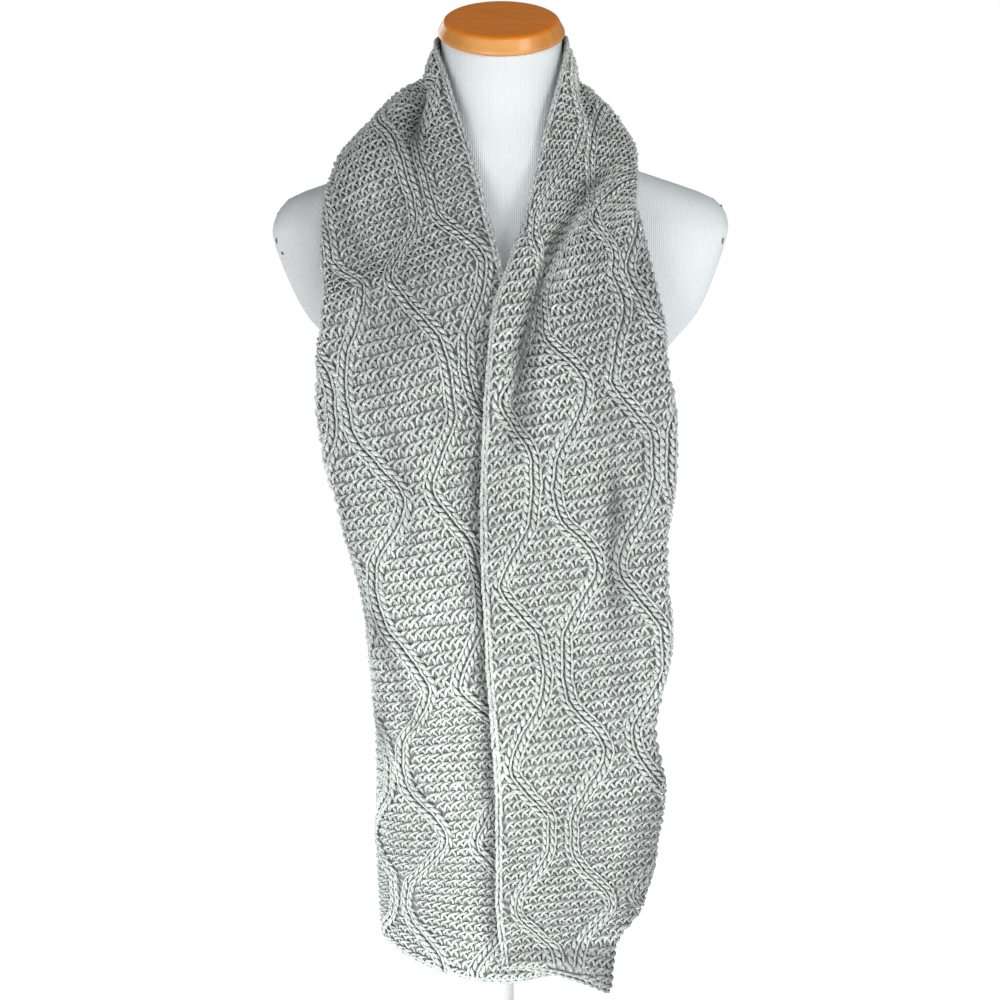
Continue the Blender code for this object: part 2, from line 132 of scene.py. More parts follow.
# Where the folds keep the light out (or, below nothing, catch it): laid like the creases.
FOLDS = (
    # row0, across0, row1, across1, half_width, strength0, strength1
    (20.5, 66, 23.5, 54, 8, 0.22, 0.34),
    (23.5, 54, 28.7, 42, 8, 0.34, 0.40),
    (28.7, 42, 33.5, 43, 10, 0.42, 0.48),
    (33.5, 43, 38.3, 36, 10, 0.48, 0.56),
    (38.3, 36, 44.5, 30, 10, 0.56, 0.36),
    (26, 16, 46, 8, 9, -0.10, -0.10),
    (27, 66, 43, 62, 15, -0.08, -0.10),
    (28.5, 98, 37, 108, 12, 0.12, 0.02),
    (29.5, 168, 36.5, 150, 14, 0.14, 0.12),
    (30, 62, 36.8, 56, 10, 0.20, 0.26),
    (36.8, 56, 44, 42, 9, 0.26, 0.28),
    (49, 148, 56, 148, 12, 0.10, 0.10),
    (68, 160, 73, 160, 10, 0.08, 0.08),
    (84, 165, 92, 140, 12, 0.10, 0.14),
    (46, 112, 53.5, 122, 10, 0.10, 0.24),
    (53.5, 122, 61, 118, 10, 0.36, 0.24),
    (60, 116, 74, 122, 12, 0.12, 0.10),
    (77, 154, 96, 124, 20, 0.40, 0.44),
    (66, 40, 96, 44, 22, -0.06, -0.08),
    (10, 46, 18.5, 49, 6, 0.22, 0.30),
    (19.3, 52, 19.0, 88, 6, -0.14, -0.14),
    (11, 28, 32, 30, 34, -0.30, -0.28),
    (13, 84, 30, 84, 26, -0.22, -0.22),
    (68, 60, 92, 60, 45, 0.14, 0.16),
    (26, 3, 62, 3, 4, 0.14, 0.08),
    (64, 8, 93, 8, 7, -0.10, -0.12),
    (95.2, 14, 95.2, 92, 5, -0.12, -0.12),
    (96.1, 12, 96.1, 96, 5, 0.20, 0.16),
    (96.6, 30, 97.2, 110, 12, 0.16, 0.24),
    (97.6, 112, 97.8, 128, 9, 0.30, 0.40),
    (-48, 100, -92, 110, 38, -0.08, -0.08),
    (22.0, 90, 22.2, 64, 5, 0.22, 0.22),
    (-13.8, 42, -18, 45, 13, 0.58, 0.48),
    (-18, 45, -24, 52, 9, 0.30, 0.08),
    (-9, 40, -13, 30, 6, -0.10, -0.10),
    (-24, 122, -54, 122, 11, 0.18, 0.20),
    (-44, 172, -52, 178, 12, 0.12, 0.15),
    (-52, 178, -58, 172, 12, 0.16, 0.14),
    (-60, 170, -70, 180, 12, 0.18, 0.18),
    (-70, 180, -80, 176, 12, 0.20, 0.12),
    (-76, 94, -87, 96, 8, 0.12, 0.12),
    (-30, 74, -37, 90, 18, 0.14, 0.12),
    (-61, 161, -69, 145, 7, 0.36, 0.30),
    (-76, 150, -84, 134, 9, 0.16, 0.14),
    (-60, 110, -92, 120, 26, -0.08, -0.10),
    (-40, 26, -44, 37, 5, 0.30, 0.50),
    (-44, 37, -50, 54, 6, 0.50, 0.58),
    (-50, 54, -58, 66, 6.5, 0.58, 0.60),
    (-58, 66, -66, 77, 6.5, 0.60, 0.60),
    (-66, 77, -76, 82, 6.5, 0.60, 0.62),
    (-76, 82, -93, 84, 6.5, 0.62, 0.50),
)


def along(x, xs, ys):
    """Cubic through every (xs, ys), slopes from the neighbours on either side."""
    xs, ys, x = np.asarray(xs, float), np.asarray(ys, float), np.asarray(x, float)
    step = np.diff(xs)
    rise = np.diff(ys) / step
    slope = np.empty_like(ys)
    slope[1:-1] = (rise[:-1] * step[1:] + rise[1:] * step[:-1]) / (step[:-1] + step[1:])
    slope[0], slope[-1] = rise[0], rise[-1]
    k = np.clip(np.searchsorted(xs, x) - 1, 0, len(step) - 1)
    t = (x - xs[k]) / step[k]
    return ((2 * t**3 - 3 * t**2 + 1) * ys[k] + (t**3 - 2 * t**2 + t) * step[k] * slope[k]
            + (3 * t**2 - 2 * t**3) * ys[k + 1] + (t**3 - t**2) * step[k] * slope[k + 1])


def unit(v):
    return v / np.maximum(np.linalg.norm(v, axis=-1, keepdims=True), 1e-9)


def pressed(row, across, table=CREASES):
    total = 0.0
    for row0, across0, row1, across1, half_width, depth0, depth1 in table:
        a, b = np.array((across0, row0 * 10.0)), np.array((across1, row1 * 10.0))
        length = np.linalg.norm(b - a)
        dx, dy = (b - a) / length
        px, py = across - a[0], row * 10.0 - a[1]
        down, off = px * dx + py * dy, px * dy - py * dx
        past = np.maximum(0, np.maximum(-down, down - length)) / 2.5
        t = np.clip(down / length, 0, 1)
        total = total + (depth0 + (depth1 - depth0) * t) * np.exp(-(off**2 + past**2) / half_width**2)
    return total


def section(row):
    """Polyline of one section, its running length, the length at which it is half turned, and its width."""
    names = COLUMNS[1:]
    table = np.array(SECTIONS, float)
    c = {n: float(along(row, table[:, 0], table[:, i + 1])) for i, n in enumerate(names)}
    start = np.array((c["in_x"], c["in_y"], c["in_z"]))
    outer = np.array((c["out_x"], c["out_y"], c["out_z"]))
    across = unit(outer - start)
    az, el, turn = math.radians(c["az"]), math.radians(c["el"]), math.radians(max(c["turn"], 0))
    face = np.array((math.sin(az) * math.cos(el), -math.cos(az) * math.cos(el), math.sin(el)))
    face = unit(face - across * face.dot(across))
    outer = outer - across * c["rad"] * math.sin(min(turn, math.pi / 2))
    chord = outer - start
    v = np.linspace(0, 1, 81)[:, None]
    reach = np.linalg.norm(chord)
    fade = np.minimum(1, (1 - v) * reach / 24)
    lift = pressed(row, v * reach) * fade**2 * (3 - 2 * fade)
    front = (start + chord * v + face * (3 * c["near"] * v * (1 - v) ** 2 + 3 * c["far"] * v**2 * (1 - v) + lift)
             - np.array((0, 0, 4 * c["sag"])) * v * (1 - v))
    ahead = unit(front[-1] - front[-2])
    up = unit(face - ahead * face.dot(ahead))
    a = np.linspace(0, turn, 25)[1:, None]
    arc = outer + c["rad"] * (np.sin(a) * ahead - (1 - np.cos(a)) * up)
    tail = arc[-1] + (math.cos(turn) * ahead - math.sin(turn) * up) * np.linspace(4, 260, 40)[:, None]
    line = np.concatenate((front, arc, tail))
    run = np.concatenate(((0,), np.cumsum(np.linalg.norm(np.diff(line, axis=0), axis=1))))
    return line, run, run[80] + c["rad"] * turn / 2, c["wide"]


HEM = 98.0
ACROSS, ROW_STEP = 145, 0.25
ROWS = np.arange(-HEM, HEM + 1e-6, ROW_STEP)
Q = np.linspace(0, 1, ACROSS)
form_tree = BVHTree.FromObject(NODES["form_torso"], bpy.context.evaluated_depsgraph_get())


def clear_of_form(grid, room):
    for index in np.ndindex(grid.shape[:2]):
        p = Vector(grid[index]) * MM
        place, normal, _, _ = form_tree.find_nearest(p, 0.03)
        if place is None:
            continue
        outside = (p - place).dot(normal) > 0
        way = (p - place).normalized() if outside and (p - place).length > 1e-5 else normal
        off = (p - place).dot(way) / MM
        if off < room:
            grid[index] += np.array(way) * (room - off)


def softened(grid, times, axes=(0, 1)):
    for _ in range(times):
        for axis in axes:
            g = np.moveaxis(grid, axis, 0)
            mid = g.copy()
            mid[1:-1] = 0.25 * g[:-2] + 0.5 * g[1:-1] + 0.25 * g[2:]
            grid = np.moveaxis(mid, 0, axis)
    return grid


PLACE = np.empty((len(ROWS), ACROSS, 3))
WIDE, HALF = np.empty(len(ROWS)), np.empty(len(ROWS))
for j, row in enumerate(ROWS):
    line, run, half, wide = section(row)
    WIDE[j], HALF[j] = wide, min(half, wide - 12) / wide
    PLACE[j] = np.stack([np.interp(Q * wide, run, line[:, k]) for k in range(3)], axis=1)
clear_of_form(PLACE, 4.5)
PLACE = softened(PLACE, 3)
OUT = unit(softened(unit(np.cross(np.gradient(PLACE, axis=0), np.gradient(PLACE, axis=1))), 2))
EDGE_ROLL = (3.6 + 1.0 * np.sin(ROWS * 0.37 + 0.6) + 0.6 * np.sin(ROWS * 0.93)) * np.clip((ROWS - 20) / 14, 0, 1)
PLACE += OUT * (EDGE_ROLL[:, None] * np.exp(-((Q[None] * WIDTH - 5.0) / 9.5) ** 2))[..., None]
OUT = unit(softened(unit(np.cross(np.gradient(PLACE, axis=0), np.gradient(PLACE, axis=1))), 2))
SHADE = np.clip(1 - np.array([pressed(row, Q * wide, FOLDS) for row, wide in zip(ROWS, WIDE)]), 0.40, 1.35)
STEP_Q = np.gradient(PLACE, axis=1) * (ACROSS - 1) / WIDTH        # mm for each nominal mm across
STEP_R = np.gradient(PLACE, axis=0) / ROW_STEP                     # mm for each row


def look_up(grid, x, row):
    """Bilinear reading of a grid at x nominal millimetres across and at a row."""
    a = np.asarray(x, float) / WIDTH * (ACROSS - 1)
    b = (np.asarray(row, float) - ROWS[0]) / ROW_STEP
    i = np.clip(np.floor(a).astype(int), 0, ACROSS - 2)
    j = np.clip(np.floor(b).astype(int), 0, len(ROWS) - 2)
    a, b = a - i, b - j
    if grid.ndim == 3:
        a, b = a[..., None], b[..., None]
    return ((grid[j, i] * (1 - a) + grid[j, i + 1] * a) * (1 - b)
            + (grid[j + 1, i] * (1 - a) + grid[j + 1, i + 1] * a) * b)


TIGHT = np.clip(np.minimum(np.linalg.norm(STEP_Q, axis=2), np.linalg.norm(STEP_R, axis=2) / ROW_HIGH), 0.45, 1.12)


# ================================================================ the ribs' zig-zag
def phase(row):
    """0 where ribs 1 and 3 are nearest the neckline, pi half a repeat on."""
    row = np.asarray(row, float)
    neck = np.interp(row, (-26, -20, -14, 10), (-0.5, -0.36, 0.0, 1.97))
    return np.where(row <= -26, (-18 - row) / 16, np.where(row >= 10, (row - 10.5) / 16, neck)) * 2 * math.pi


RIBS = (
    # rib, mean distance across, reach of the zig-zag, which way at phase 0
    (1, 32.0, 16.5, -1),
    (2, 85.0, 17.0, 1),
    (3, 137.0, 17.0, -1),
    (4, 187.0, 15.0, 1),
)
OUTWARD = (0.0, 0.5, 5.0, 2.0)      # how much farther out each runs down the viewer's right strand
OUTWARD_LEFT = (0.0, -1.0, 7.0, 3.0)


def rib_line(rib, row):
    _, mean, reach, way = RIBS[rib]
    row = np.asarray(row, float)
    p = np.mod(phase(row + 0.35 * np.sin(0.31 * row + 2.1 * rib)) + math.pi, 2 * math.pi) - math.pi
    slant = (1 - 2 * np.abs(p) / math.pi) / 0.60 - 0.38
    slant = slant / (1 + slant**4) ** 0.25 / 0.95
    wander = (1.2 * np.sin(0.21 * row + 1.7 * rib) + 0.8 * np.sin(0.57 * row + rib) + 0.45 * np.sin(1.9 * row + 2.3 * rib)
              + 0.25 * np.sin(3.3 * row + 0.9 * rib))
    out = OUTWARD[rib] * np.clip((row - 20) / 10, 0, 1) + OUTWARD_LEFT[rib] * np.clip((-24 - row) / 10, 0, 1)
    return mean + out + way * reach * slant + wander


# ================================================================ yarn
class Yarn:
    """Collects closed tubes of yarn and makes one mesh of them."""

    def __init__(self, name, sides):
        self.name, self.sides = name, sides
        self.points, self.faces, self.high, self.shade, self.uv, self.count = [], [], [], [], [], 0
        self.a = np.arange(sides) * 2 * math.pi / sides

    def add(self, x, row, z, radius):
        """One tube through the points, radius in millimetres."""
        n, s = len(x), self.sides
        out = unit(look_up(OUT, x, row))
        mid = look_up(PLACE, x, row) + out * z[:, None]
        ahead = unit(np.gradient(mid, axis=0))
        side = unit(np.cross(ahead, out))
        up = np.cross(side, ahead)
        radius = np.broadcast_to(radius, (n,)) * look_up(TIGHT, x, row)
        ring = mid[:, None] + radius[:, None, None] * (np.cos(self.a)[None, :, None] * side[:, None]
                                                       + np.sin(self.a)[None, :, None] * up[:, None])
        high = z[:, None] + radius[:, None] * np.sin(self.a)[None]
        run = np.concatenate(((0,), np.cumsum(np.linalg.norm(np.diff(mid, axis=0), axis=1))))
        start = self.count
        tips = np.stack([mid[0] - ahead[0] * radius[0] * 0.7, mid[-1] + ahead[-1] * radius[-1] * 0.7])
        self.points.append(np.concatenate((ring.reshape(-1, 3), tips)))
        self.high.append(np.concatenate((high.ravel(), (z[0], z[-1]))))
        shade = look_up(SHADE[..., None], x, row)[:, 0]
        self.shade.append(np.concatenate((np.repeat(shade, s), (shade[0], shade[-1]))))
        i, j = np.meshgrid(np.arange(n - 1), np.arange(s), indexing="ij")
        k = (j + 1) % s
        quads = np.stack([i * s + j, i * s + k, (i + 1) * s + k, (i + 1) * s + j], -1).reshape(-1, 4) + start
        b = np.arange(s)
        first = np.stack([b, np.full(s, n * s), (b + 1) % s], -1) + start
        last = np.stack([b + (n - 1) * s, (b + 1) % s + (n - 1) * s, np.full(s, n * s + 1)], -1) + start
        self.faces.append((quads, first, last))
        v0, v1 = j / s, (j + 1) / s
        u0, u1 = run[i], run[i + 1]
        self.uv.append((np.stack([np.stack([u0, v0], -1), np.stack([u0, v1], -1), np.stack([u1, v1], -1),
                                  np.stack([u1, v0], -1)], 2).reshape(-1, 2),
                        np.tile(((0.0, 0.0), (-1.0, 0.5), (0.0, 0.1)), (s, 1)),
                        np.tile(((run[-1], 0.0), (run[-1], 0.1), (run[-1] + 1, 0.5)), (s, 1))))
        self.count += n * s + 2

    def made(self, material, node_replaced=None):
        points = np.concatenate(self.points) * MM
        quads = np.concatenate([f[0] for f in self.faces])
        tris = np.concatenate([t for f in self.faces for t in f[1:]])
        loops = np.concatenate((quads.ravel(), tris.ravel())).astype(np.int32)
        starts = np.concatenate((np.arange(len(quads)) * 4, len(quads) * 4 + np.arange(len(tris)) * 3)).astype(np.int32)
        uv = np.concatenate([u[0] for u in self.uv] + [t for u in self.uv for t in u[1:]])
        mesh = bpy.data.meshes.new(self.name)
        mesh.vertices.add(len(points))
        mesh.vertices.foreach_set("co", points.astype(np.float32).ravel())
        mesh.loops.add(len(loops))
        mesh.loops.foreach_set("vertex_index", loops)
        mesh.polygons.add(len(starts))
        mesh.polygons.foreach_set("loop_start", starts)
        mesh.polygons.foreach_set("use_smooth", np.ones(len(starts), bool))
        layer = mesh.uv_layers.new(name="yarn")
        layer.data.foreach_set("uv", (uv * (MM, 1)).astype(np.float32).ravel())
        high = mesh.attributes.new("high", "FLOAT", "POINT")
        high.data.foreach_set("value", np.concatenate(self.high).astype(np.float32))
        shade = mesh.attributes.new("shade", "FLOAT", "POINT")
        shade.data.foreach_set("value", np.concatenate(self.shade).astype(np.float32))
        mesh.update(calc_edges=True)
        mesh.materials.append(material)
        o = bpy.data.objects.new(self.name, mesh)
        bpy.context.scene.collection.objects.link(o)
        return o


# ================================================================ materials
def material(name, roughness):
    m = bpy.data.materials.new(name)
    m.use_nodes = True
    tree = m.node_tree
    shader = tree.nodes["Principled BSDF"]
    shader.inputs["Roughness"].default_value = roughness
    return m, tree, shader


def node(tree, kind, **settings):
    n = tree.nodes.new(kind)
    for key, value in settings.items():
        if key.startswith("in_"):
            n.inputs[key[3:].replace("_", " ")].default_value = value
        else:
            setattr(n, key, value)
    return n


def ramp(tree, source, *stops):
    n = tree.nodes.new("ShaderNodeValToRGB")
    while len(n.color_ramp.elements) < len(stops):
        n.color_ramp.elements.new(0.5)
    for element, (at, colour) in zip(n.color_ramp.elements, stops):
        element.position = at
        element.color = (*colour, 1) if isinstance(colour, tuple) else (colour, colour, colour, 1)
    tree.links.new(source, n.inputs[0])
    return n.outputs["Color"]


def mixed(tree, blend, factor, a, b):
    n = tree.nodes.new("ShaderNodeMix")
    n.data_type, n.blend_type = "RGBA", blend
    for socket, value in (("Factor", factor), ("A", a), ("B", b)):
        target = [i for i in n.inputs if i.name == socket and i.enabled][0]
        if isinstance(value, bpy.types.NodeSocket):
            tree.links.new(value, target)
        else:
            target.default_value = value
    return [o for o in n.outputs if o.enabled][0]


def maths(tree, operation, a, b=None, c=None):
    n = tree.nodes.new("ShaderNodeMath")
    n.operation = operation
    for i, value in enumerate((a, b, c)):
        if value is None:
            continue
        if isinstance(value, bpy.types.NodeSocket):
            tree.links.new(value, n.inputs[i])
        else:
            n.inputs[i].default_value = value
    return n.outputs[0]


def noise(tree, vector, scale, detail=2.0, rough=0.5):
    n = node(tree, "ShaderNodeTexNoise", in_Scale=scale, in_Detail=detail, in_Roughness=rough)
    tree.links.new(vector, n.inputs["Vector"])
    return n.outputs["Fac"]


def yarn_material(name, crown_painted_light):
    """Grey heather wool: a twisted yarn of paler and darker fibres, with painted shade down between the stitches and
    painted light on the yarn's crowns.
    """
    m, tree, shader = material(name, 0.93)
    links = tree.links
    place = tree.nodes.new("ShaderNodeTexCoord").outputs["Object"]
    uv = node(tree, "ShaderNodeUVMap", uv_map="yarn").outputs["UV"]
    high = node(tree, "ShaderNodeAttribute", attribute_name="high").outputs["Fac"]
    fleck = noise(tree, place, 760, 4, 0.72)
    patch = noise(tree, place, 240, 2, 0.5)
    drift = noise(tree, place, 22, 2, 0.5)
    colour = ramp(tree, fleck, (0.36, (0.22, 0.252, 0.236)), (0.50, (0.48, 0.517, 0.498)), (0.62, (0.88, 0.915, 0.898)))
    # the low part is lit evenly from the front: its fibres and hollows stand out less
    tall = tree.nodes.new("ShaderNodeSeparateXYZ")
    links.new(place, tall.inputs[0])
    even = ramp(tree, tall.outputs[2], (0.20, 0.34), (0.60, 0.18), (0.80, 0.0))
    colour = mixed(tree, "MIX", even, colour, (0.60, 0.64, 0.62, 1))
    colour = mixed(tree, "MULTIPLY", 1.0, colour, ramp(tree, patch, (0.30, 0.80), (0.70, 1.14)))
    colour = mixed(tree, "MULTIPLY", 1.0, colour, ramp(tree, drift, (0.30, 0.92), (0.70, 1.06)))
    # painted light and shade: the wool is coloured lighter low down and darker towards the neck
    colour = mixed(tree, "MULTIPLY", 1.0, colour, ramp(tree, tall.outputs[2], (0.25, 1.14), (0.52, 1.03), (0.72, 0.94), (0.80, 0.87), (0.93, 0.84)))
    # painted shade and light: the colour darkens with depth down between the stitches and brightens on the yarn's
    # crowns
    deep = maths(tree, "MULTIPLY_ADD", high, 0.2, 0.5)
    hollow_painted_shade = ramp(tree, deep, (0.0, (0.46, 0.48, 0.47)), (0.42, (0.74, 0.76, 0.75)), (0.72, crown_painted_light), (0.95, tuple(1.06 * v for v in crown_painted_light)))
    colour = mixed(tree, "MULTIPLY", 1.0, colour, mixed(tree, "MIX", even, hollow_painted_shade, (1.0, 1.0, 1.0, 1)))
    fold = node(tree, "ShaderNodeAttribute", attribute_name="shade").outputs["Fac"]
    colour = mixed(tree, "MULTIPLY", 1.0, colour, ramp(tree, maths(tree, "MULTIPLY", fold, 0.8), (0.0, 0.0), (1.0, 1.25)))
    links.new(colour, shader.inputs["Base Color"])
    # two plies twisted round each other, and loose fibres
    split = tree.nodes.new("ShaderNodeSeparateXYZ")
    links.new(uv, split.inputs[0])
    turns = maths(tree, "MULTIPLY_ADD", split.outputs[0], 150.0, maths(tree, "MULTIPLY", split.outputs[1], 2.0))
    ply = maths(tree, "ABSOLUTE", maths(tree, "SINE", maths(tree, "MULTIPLY", turns, math.pi)))
    bump1 = node(tree, "ShaderNodeBump", in_Strength=0.55, in_Distance=0.0007)
    links.new(ply, bump1.inputs["Height"])
    bump2 = node(tree, "ShaderNodeBump", in_Strength=0.55, in_Distance=0.0006)
    links.new(noise(tree, place, 1100, 3, 0.6), bump2.inputs["Height"])
    links.new(bump1.outputs[0], bump2.inputs["Normal"])
    links.new(bump2.outputs[0], shader.inputs["Normal"])
    shader.inputs["Sheen Weight"].default_value = 0.35
    shader.inputs["Sheen Roughness"].default_value = 0.6
    shader.inputs["Sheen Tint"].default_value = (0.92, 0.95, 0.93, 1)
    shader.inputs["Specular IOR Level"].default_value = 0.2
    return m


GROUND_WOOL = yarn_material("wool_ground", (1.0, 1.0, 1.0))
# the ribs' wool carries a little more painted light on its crowns
RIB_WOOL = yarn_material("wool_ribs", (1.06, 1.06, 1.06))


def backing_material():
    """The knit's wrong side and what shows between the loops, coloured dark as painted shade."""
    m, tree, shader = material("wool_backing", 0.95)
    uv = node(tree, "ShaderNodeUVMap", uv_map="cloth").outputs["UV"]
    place = tree.nodes.new("ShaderNodeTexCoord").outputs["Object"]
    split = tree.nodes.new("ShaderNodeSeparateXYZ")
    tree.links.new(uv, split.inputs[0])
    wave = maths(tree, "SINE", maths(tree, "MULTIPLY", split.outputs[0], 2 * math.pi))
    rows = maths(tree, "SINE", maths(tree, "MULTIPLY_ADD", wave, 0.9, maths(tree, "MULTIPLY", split.outputs[1], 2 * math.pi)))
    colour = ramp(tree, noise(tree, place, 1200, 3, 0.6), (0.3, (0.26, 0.28, 0.27)), (0.7, (0.50, 0.52, 0.51)))
    colour = mixed(tree, "MULTIPLY", 1.0, colour, ramp(tree, maths(tree, "MULTIPLY_ADD", rows, 0.5, 0.5), (0.0, 0.45), (0.8, 1.0)))
    tall = tree.nodes.new("ShaderNodeSeparateXYZ")
    tree.links.new(place, tall.inputs[0])
    # painted light: lighter low down, like the wool
    colour = mixed(tree, "MULTIPLY", 1.0, colour, ramp(tree, tall.outputs[2], (0.20, 1.4), (0.50, 1.25), (0.80, 1.0)))
    tree.links.new(colour, shader.inputs["Base Color"])
    bump = node(tree, "ShaderNodeBump", in_Strength=0.9, in_Distance=0.0015)
    tree.links.new(rows, bump.inputs["Height"])
    tree.links.new(bump.outputs[0], shader.inputs["Normal"])
    shader.inputs["Specular IOR Level"].default_value = 0.15
    return m


BACKING = backing_material()


# ================================================================ the knitted panel
def panel():
    """The thin closed sheet that the yarn is on, from hem to hem."""
    take_r = np.unique(np.append(np.arange(0, len(ROWS), 3), len(ROWS) - 1))
    take_q = np.unique(np.append(np.arange(0, ACROSS, 3), ACROSS - 1))
    grid, out = PLACE[np.ix_(take_r, take_q)], OUT[np.ix_(take_r, take_q)]
    nr, nq = len(take_r), len(take_q)
    verts = np.concatenate(((grid - out * 1.55).reshape(-1, 3), (grid - out * 2.15).reshape(-1, 3))) * MM
    faces = []
    ids = np.arange(nr * nq).reshape(nr, nq)
    front = np.stack([ids[:-1, :-1], ids[1:, :-1], ids[1:, 1:], ids[:-1, 1:]], -1).reshape(-1, 4)
    back = front[:, ::-1] + nr * nq
    edge = np.concatenate((ids[:, 0], ids[-1, 1:], ids[-2::-1, -1], ids[0, -2:0:-1]))
    after = np.roll(edge, -1)
    rim = np.stack([after, edge, edge + nr * nq, after + nr * nq], -1)
    faces = np.concatenate((front, back, rim))
    mesh = bpy.data.meshes.new("scarf_panel")
    mesh.vertices.add(len(verts))
    mesh.vertices.foreach_set("co", verts.astype(np.float32).ravel())
    mesh.loops.add(faces.size)
    mesh.loops.foreach_set("vertex_index", faces.ravel().astype(np.int32))
    mesh.polygons.add(len(faces))
    mesh.polygons.foreach_set("loop_start", np.arange(0, faces.size, 4, dtype=np.int32))
    mesh.polygons.foreach_set("use_smooth", np.ones(len(faces), bool))
    uq, ur = np.meshgrid(Q[take_q] * STITCHES, ROWS[take_r])
    uv = np.tile(np.stack([uq.ravel(), ur.ravel()], -1), (2, 1))[faces.ravel()]
    mesh.uv_layers.new(name="cloth").data.foreach_set("uv", uv.astype(np.float32).ravel())
    mesh.update(calc_edges=True)
    mesh.materials.append(BACKING)
    o = bpy.data.objects.new("scarf_panel", mesh)
    bpy.context.scene.collection.objects.link(o)
    return o


STRETCHES = ("neck", "left_front", "left_return", "right_front", "right_return")
ground = {s: Yarn("yarn_" + s, 5) for s in STRETCHES}
ribs = {s: Yarn("ribs_" + s, 5) for s in STRETCHES}


def stretch(x, row):
    if abs(row) < 13:
        return "neck"
    fold = HALF[int(round((row + HEM) / ROW_STEP))] * WIDTH
    return ("left_" if row < 0 else "right_") + ("front" if x < fold else "return")


# A purl bump is two short stretches of yarn that show: a hook that rises and runs off to the right
# over the next one, and a limb that falls away under it. Millimetres, right and up.
HOOK = np.array(((-3.6, -5.7, -1.0), (-3.4, -3.3, 0.15), (-2.9, -0.8, 0.95), (-1.4, 1.5, 1.6), (1.2, 3.0, 1.65), (3.9, 3.8, 0.85),
                 (6.2, 4.3, -0.6)))
LIMB = np.array(((-2.2, 1.6, -0.7), (-0.4, 0.4, 0.45), (1.4, -1.9, 0.65), (2.3, -4.4, 0.2), (2.6, -6.6, -1.0)))
HOOK_THICK = np.array((0.8, 1.2, 1.45, 1.65, 1.6, 1.35, 0.85))
LIMB_THICK = np.array((0.9, 1.25, 1.3, 1.15, 0.75))
SHIFT = 0.8
RIB_ROOM, RIB_SIDE = 6.2, 9.0


def knit_ground():
    rng = np.random.default_rng(7)
    for k in range(int(2 * HEM)):
        r0 = -HEM + 0.5 + k
        # down the left strand the rows run from the hem up, down the right one from the neck down
        side = 1.0 if r0 >= 0 else -1.0
        fold = HALF[int(np.clip(round((r0 + HEM) / ROW_STEP), 0, len(ROWS) - 1))] * WIDTH
        starts = [(x0, r0, 1) for x0 in np.arange(-PITCH, WIDTH + PITCH, PITCH) + (k * SHIFT) % PITCH]
        if abs(r0) > HEM - 4:
            # more rows where the corners of the hem are drawn out
            pull = [float(np.linalg.norm(look_up(STEP_R, np.clip(x0, 0, WIDTH), r0))) / ROW_HIGH for x0, _, _ in starts]
            starts = [(x0, r0 + (i + 0.5) / n - 0.5, n) for (x0, _, _), p in zip(starts, pull)
                      for n in (1 if p < 1.3 else 2 if p < 2.1 else 3,) for i in range(n)]
        for x0, r1, n in starts:
            grow, tilt, wide, lift, drop = rng.normal(1, 0.07), rng.normal(0, 0.10), rng.normal(1, 0.06), rng.normal(0, 0.22), rng.normal(0, 0.35)
            fat = rng.normal(1, 0.08)
            nudge = rng.normal(0, 0.35)
            for shape, thick in ((HOOK, HOOK_THICK), (LIMB, LIMB_THICK)):
                right = shape[:, 0] * wide + tilt * shape[:, 1] + nudge
                up = shape[:, 1] * grow + drop
                x = x0 + side * right
                row = r1 - side * up / ROW_HIGH / n
                if x.min() < 3.0 or x.max() > WIDTH - 3.0:
                    continue
                # the first and last rows are pressed up against the hem's chain
                low, high = row.min(), row.max()
                fit = (min(high, HEM - 0.13) - max(low, -HEM + 0.13)) / (high - low)
                if fit < 0.35:
                    continue
                row = max(low, -HEM + 0.13) + (row - low) * fit
                away = np.full(len(x), 99.0)
                for rib in range(4):
                    c = rib_line(rib, row)
                    slope = (rib_line(rib, row + 0.25) - rib_line(rib, row - 0.25)) / (0.5 * ROW_HIGH)
                    away = np.minimum(away, np.abs(x - c) / np.sqrt(1 + slope**2))
                if away.mean() < RIB_ROOM:
                    continue
                z = shape[:, 2] + lift - 0.55 * np.maximum(0, RIB_SIDE - away)      # slips in under the rib
                name = stretch(float(x.mean()), r0)
                take = slice(None, None, 2) if name.endswith("return") and len(x) > 4 else slice(None)
                ground[name].add(x[take], row[take], z[take], (thick * fat)[take])


# distance from the rib's middle, and whether it is a column of fat beads or a thin line
RIB_COLUMNS = ((-5.6, True), (-1.7, False), (3.2, True), (7.1, False))


